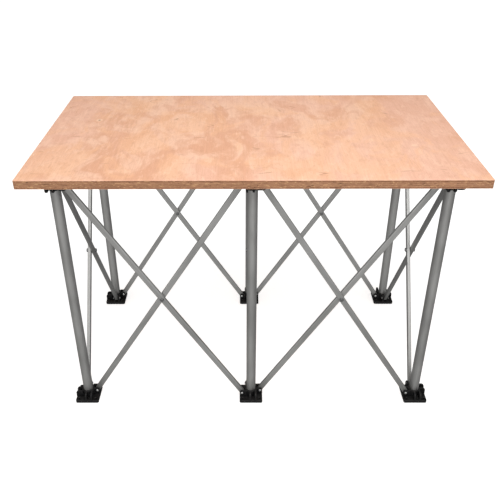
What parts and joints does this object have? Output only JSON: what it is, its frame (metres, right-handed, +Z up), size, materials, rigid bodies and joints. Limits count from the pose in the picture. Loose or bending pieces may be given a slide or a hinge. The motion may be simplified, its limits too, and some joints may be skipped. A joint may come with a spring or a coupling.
{
  "type": "stage riser platform",
  "caption": "Folding stage riser: a flat plywood deck resting on a collapsible aluminium frame of upright leg tubes, crossed scissor bars and black moulded corner hubs.",
  "frame": {"origin": "on the floor under the middle of the deck", "axes": "+X along the long side of the deck, to the right seen from the front; +Y towards the back; +Z up"},
  "size_m": [0.9, 0.5, 0.6],
  "materials": {
    "deck_plywood": "raw sanded hardwood plywood",
    "leg_aluminium": "satin anodised",
    "bar_aluminium": "satin anodised",
    "hub_plastic": "moulded black nylon",
    "pad_rubber": "matt",
    "rivet_metal": "bright",
    "pivot_steel": "zinc plated"
  },
  "bodies": {
    "foot_front_left": {"foot_pad_front_left": "pad_rubber", "foot_hub_front_left": "hub_plastic", "foot_rivets_front_left": "rivet_metal"},
    "top_front_left": {"top_hub_front_left": "hub_plastic", "leg_tube_front_left": "leg_aluminium", "top_rivets_front_left": "rivet_metal"},
    "foot_front_middle": {"foot_pad_front_middle": "pad_rubber", "foot_hub_front_middle": "hub_plastic", "foot_rivets_front_middle": "rivet_metal"},
    "top_front_middle": {"top_hub_front_middle": "hub_plastic", "leg_tube_front_middle": "leg_aluminium", "top_rivets_front_middle": "rivet_metal"},
    "foot_front_right": {"foot_pad_front_right": "pad_rubber", "foot_hub_front_right": "hub_plastic", "foot_rivets_front_right": "rivet_metal"},
    "top_front_right": {"top_hub_front_right": "hub_plastic", "leg_tube_front_right": "leg_aluminium", "top_rivets_front_right": "rivet_metal"},
    "foot_back_left": {"foot_pad_back_left": "pad_rubber", "foot_hub_back_left": "hub_plastic", "foot_rivets_back_left": "rivet_metal"},
    "top_back_left": {"top_hub_back_left": "hub_plastic", "leg_tube_back_left": "leg_aluminium", "top_rivets_back_left": "rivet_metal"},
    "foot_back_middle": {"foot_pad_back_middle": "pad_rubber", "foot_hub_back_middle": "hub_plastic", "foot_rivets_back_middle": "rivet_metal"},
    "top_back_middle": {"top_hub_back_middle": "hub_plastic", "leg_tube_back_middle": "leg_aluminium", "top_rivets_back_middle": "rivet_metal"},
    "foot_back_right": {"foot_pad_back_right": "pad_rubber", "foot_hub_back_right": "hub_plastic", "foot_rivets_back_right": "rivet_metal"},
    "top_back_right": {"top_hub_back_right": "hub_plastic", "leg_tube_back_right": "leg_aluminium", "top_rivets_back_right": "rivet_metal"},
    "deck": {"deck_board": "deck_plywood"},
    "bar_front_left_leaning_left": {"bar_front_left_leaning_left": "bar_aluminium", "pivot_set_front_left": "pivot_steel"},
    "bar_front_left_leaning_right": {"bar_front_left_leaning_right": "bar_aluminium"},
    "bar_front_right_leaning_left": {"bar_front_right_leaning_left": "bar_aluminium"},
    "bar_front_right_leaning_right": {"bar_front_right_leaning_right": "bar_aluminium", "pivot_set_front_right": "pivot_steel"},
    "bar_back_left_leaning_left": {"bar_back_left_leaning_left": "bar_aluminium", "pivot_set_back_left": "pivot_steel"},
    "bar_back_left_leaning_right": {"bar_back_left_leaning_right": "bar_aluminium"},
    "bar_back_right_leaning_left": {"bar_back_right_leaning_left": "bar_aluminium"},
    "bar_back_right_leaning_right": {"bar_back_right_leaning_right": "bar_aluminium", "pivot_set_back_right": "pivot_steel"},
    "bar_cross_left_leaning_back": {"bar_cross_left_leaning_back": "bar_aluminium", "pivot_set_cross_left": "pivot_steel"},
    "bar_cross_left_leaning_front": {"bar_cross_left_leaning_front": "bar_aluminium"},
    "bar_cross_middle_leaning_back": {"bar_cross_middle_leaning_back": "bar_aluminium", "pivot_set_cross_middle": "pivot_steel"},
    "bar_cross_middle_leaning_front": {"bar_cross_middle_leaning_front": "bar_aluminium"},
    "bar_cross_right_leaning_back": {"bar_cross_right_leaning_back": "bar_aluminium", "pivot_set_cross_right": "pivot_steel"},
    "bar_cross_right_leaning_front": {"bar_cross_right_leaning_front": "bar_aluminium"}
  },
  "joints": [
    {"name": "fold", "type": "hinge", "parent": "foot_front_middle", "child": "bar_front_right_leaning_right", "pos_m": [0.0215, -0.1905, 0.0195], "axis": [0, -1, 0], "range_deg": [0, 31]},
    {"name": "top_front_right_hinge", "type": "hinge", "parent": "bar_front_right_leaning_right", "child": "top_front_right", "pos_m": [0.3685, -0.1905, 0.5645], "axis": [0, 1, 0], "range_deg": [0, 31]},
    {"name": "bar_front_right_leaning_left_hinge", "type": "hinge", "parent": "bar_front_right_leaning_right", "child": "bar_front_right_leaning_left", "pos_m": [0.195, -0.195, 0.292], "axis": [0, 1, 0], "range_deg": [0, 62]},
    {"name": "foot_front_right_hinge", "type": "hinge", "parent": "bar_front_right_leaning_left", "child": "foot_front_right", "pos_m": [0.3685, -0.1995, 0.0195], "axis": [0, -1, 0], "range_deg": [0, 31]},
    {"name": "top_front_middle_hinge", "type": "hinge", "parent": "bar_front_right_leaning_left", "child": "top_front_middle", "pos_m": [0.0215, -0.1995, 0.5645], "axis": [0, -1, 0], "range_deg": [0, 31]},
    {"name": "bar_front_left_leaning_left_hinge", "type": "hinge", "parent": "foot_front_middle", "child": "bar_front_left_leaning_left", "pos_m": [-0.0215, -0.1995, 0.0195], "axis": [0, 1, 0], "range_deg": [0, 31]},
    {"name": "top_front_left_hinge", "type": "hinge", "parent": "bar_front_left_leaning_left", "child": "top_front_left", "pos_m": [-0.3685, -0.1995, 0.5645], "axis": [0, -1, 0], "range_deg": [0, 31]},
    {"name": "bar_front_left_leaning_right_hinge", "type": "hinge", "parent": "bar_front_left_leaning_left", "child": "bar_front_left_leaning_right", "pos_m": [-0.195, -0.195, 0.292], "axis": [0, -1, 0], "range_deg": [0, 62]},
    {"name": "foot_front_left_hinge", "type": "hinge", "parent": "bar_front_left_leaning_right", "child": "foot_front_left", "pos_m": [-0.3685, -0.1905, 0.0195], "axis": [0, 1, 0], "range_deg": [0, 31]},
    {"name": "bar_cross_middle_leaning_back_hinge", "type": "hinge", "parent": "foot_front_middle", "child": "bar_cross_middle_leaning_back", "pos_m": [-0.0045, -0.1735, 0.0195], "axis": [1, 0, 0], "range_deg": [0, 31]},
    {"name": "top_back_middle_hinge", "type": "hinge", "parent": "bar_cross_middle_leaning_back", "child": "top_back_middle", "pos_m": [-0.0045, 0.1735, 0.5645], "axis": [-1, 0, 0], "range_deg": [0, 31]},
    {"name": "bar_cross_middle_leaning_front_hinge", "type": "hinge", "parent": "bar_cross_middle_leaning_back", "child": "bar_cross_middle_leaning_front", "pos_m": [0, 0, 0.292], "axis": [-1, 0, 0], "range_deg": [0, 62]},
    {"name": "foot_back_middle_hinge", "type": "hinge", "parent": "bar_cross_middle_leaning_front", "child": "foot_back_middle", "pos_m": [0.0045, 0.1735, 0.0195], "axis": [1, 0, 0], "range_deg": [0, 31]},
    {"name": "bar_back_right_leaning_right_hinge", "type": "hinge", "parent": "foot_back_middle", "child": "bar_back_right_leaning_right", "pos_m": [0.0215, 0.1995, 0.0195], "axis": [0, -1, 0], "range_deg": [0, 31]},
    {"name": "top_back_right_hinge", "type": "hinge", "parent": "bar_back_right_leaning_right", "child": "top_back_right", "pos_m": [0.3685, 0.1995, 0.5645], "axis": [0, 1, 0], "range_deg": [0, 31]},
    {"name": "bar_back_right_leaning_left_hinge", "type": "hinge", "parent": "bar_back_right_leaning_right", "child": "bar_back_right_leaning_left", "pos_m": [0.195, 0.195, 0.292], "axis": [0, 1, 0], "range_deg": [0, 62]},
    {"name": "foot_back_right_hinge", "type": "hinge", "parent": "bar_back_right_leaning_left", "child": "foot_back_right", "pos_m": [0.3685, 0.1905, 0.0195], "axis": [0, -1, 0], "range_deg": [0, 31]},
    {"name": "bar_back_left_leaning_left_hinge", "type": "hinge", "parent": "foot_back_middle", "child": "bar_back_left_leaning_left", "pos_m": [-0.0215, 0.1905, 0.0195], "axis": [0, 1, 0], "range_deg": [0, 31]},
    {"name": "top_back_left_hinge", "type": "hinge", "parent": "bar_back_left_leaning_left", "child": "top_back_left", "pos_m": [-0.3685, 0.1905, 0.5645], "axis": [0, -1, 0], "range_deg": [0, 31]},
    {"name": "bar_back_left_leaning_right_hinge", "type": "hinge", "parent": "bar_back_left_leaning_left", "child": "bar_back_left_leaning_right", "pos_m": [-0.195, 0.195, 0.292], "axis": [0, -1, 0], "range_deg": [0, 62]},
    {"name": "foot_back_left_hinge", "type": "hinge", "parent": "bar_back_left_leaning_right", "child": "foot_back_left", "pos_m": [-0.3685, 0.1995, 0.0195], "axis": [0, 1, 0], "range_deg": [0, 31]},
    {"name": "bar_cross_left_leaning_back_hinge", "type": "hinge", "parent": "foot_front_left", "child": "bar_cross_left_leaning_back", "pos_m": [-0.3945, -0.1735, 0.0195], "axis": [1, 0, 0], "range_deg": [0, 31]},
    {"name": "bar_cross_left_leaning_front_hinge", "type": "hinge", "parent": "bar_cross_left_leaning_back", "child": "bar_cross_left_leaning_front", "pos_m": [-0.39, 0, 0.292], "axis": [-1, 0, 0], "range_deg": [0, 62]},
    {"name": "bar_cross_right_leaning_back_hinge", "type": "hinge", "parent": "foot_front_right", "child": "bar_cross_right_leaning_back", "pos_m": [0.3855, -0.1735, 0.0195], "axis": [1, 0, 0], "range_deg": [0, 31]},
    {"name": "bar_cross_right_leaning_front_hinge", "type": "hinge", "parent": "bar_cross_right_leaning_back", "child": "bar_cross_right_leaning_front", "pos_m": [0.39, 0, 0.292], "axis": [-1, 0, 0], "range_deg": [0, 62]},
    {"name": "deck_lift", "type": "slide", "parent": "top_front_middle", "child": "deck", "axis": [0, 0, 1], "range_m": [0, 0.3]}
  ],
  "couplings": [
    {"joint": "top_front_right_hinge", "follows": "fold", "ratio": 1},
    {"joint": "bar_front_right_leaning_left_hinge", "follows": "fold", "ratio": 2},
    {"joint": "foot_front_right_hinge", "follows": "fold", "ratio": 1},
    {"joint": "top_front_middle_hinge", "follows": "fold", "ratio": 1},
    {"joint": "bar_front_left_leaning_left_hinge", "follows": "fold", "ratio": 1},
    {"joint": "top_front_left_hinge", "follows": "fold", "ratio": 1},
    {"joint": "bar_front_left_leaning_right_hinge", "follows": "fold", "ratio": 2},
    {"joint": "foot_front_left_hinge", "follows": "fold", "ratio": 1},
    {"joint": "bar_cross_middle_leaning_back_hinge", "follows": "fold", "ratio": 1},
    {"joint": "top_back_middle_hinge", "follows": "fold", "ratio": 1},
    {"joint": "bar_cross_middle_leaning_front_hinge", "follows": "fold", "ratio": 2},
    {"joint": "foot_back_middle_hinge", "follows": "fold", "ratio": 1},
    {"joint": "bar_back_right_leaning_right_hinge", "follows": "fold", "ratio": 1},
    {"joint": "top_back_right_hinge", "follows": "fold", "ratio": 1},
    {"joint": "bar_back_right_leaning_left_hinge", "follows": "fold", "ratio": 2},
    {"joint": "foot_back_right_hinge", "follows": "fold", "ratio": 1},
    {"joint": "bar_back_left_leaning_left_hinge", "follows": "fold", "ratio": 1},
    {"joint": "top_back_left_hinge", "follows": "fold", "ratio": 1},
    {"joint": "bar_back_left_leaning_right_hinge", "follows": "fold", "ratio": 2},
    {"joint": "foot_back_left_hinge", "follows": "fold", "ratio": 1},
    {"joint": "bar_cross_left_leaning_back_hinge", "follows": "fold", "ratio": 1},
    {"joint": "bar_cross_left_leaning_front_hinge", "follows": "fold", "ratio": 2},
    {"joint": "bar_cross_right_leaning_back_hinge", "follows": "fold", "ratio": 1},
    {"joint": "bar_cross_right_leaning_front_hinge", "follows": "fold", "ratio": 2}
  ]
}
